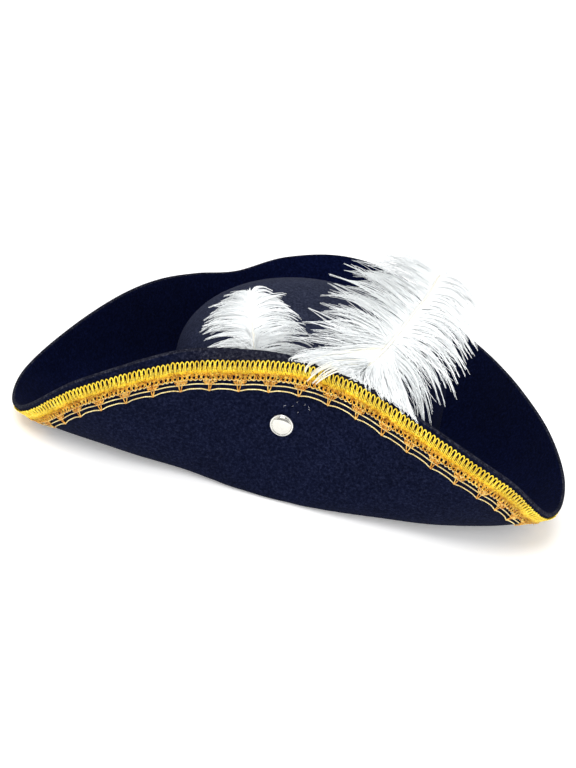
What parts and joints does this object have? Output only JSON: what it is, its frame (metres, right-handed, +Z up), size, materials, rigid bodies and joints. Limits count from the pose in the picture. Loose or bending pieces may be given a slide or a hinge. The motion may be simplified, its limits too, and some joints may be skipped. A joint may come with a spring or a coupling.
{
  "type": "tricorn hat",
  "caption": "Felt tricorn hat with a round crown, a turned-up brim, gold braid on the rim, a metal snap and white ostrich plumes.",
  "frame": {"origin": "on the floor, under the middle of the bounding box", "axes": "+Z up out of the crown, -Y towards the front flap with the snap, +X towards the right-hand corner seen from the front"},
  "size_m": [0.3418, 0.2956, 0.1366],
  "materials": {
    "felt_body": "navy wool felt",
    "gold_braid": "gold metallic thread",
    "snap_cap": "polished",
    "snap_stud": "plain",
    "plume_small": "white feather",
    "plume_large": "white feather"
  },
  "bodies": {
    "root": {"felt_body": "felt_body", "gold_braid": "gold_braid", "snap_cap": "snap_cap", "snap_stud": "snap_stud", "plume_small": "plume_small", "plume_large": "plume_large"}
  },
  "joints": []
}
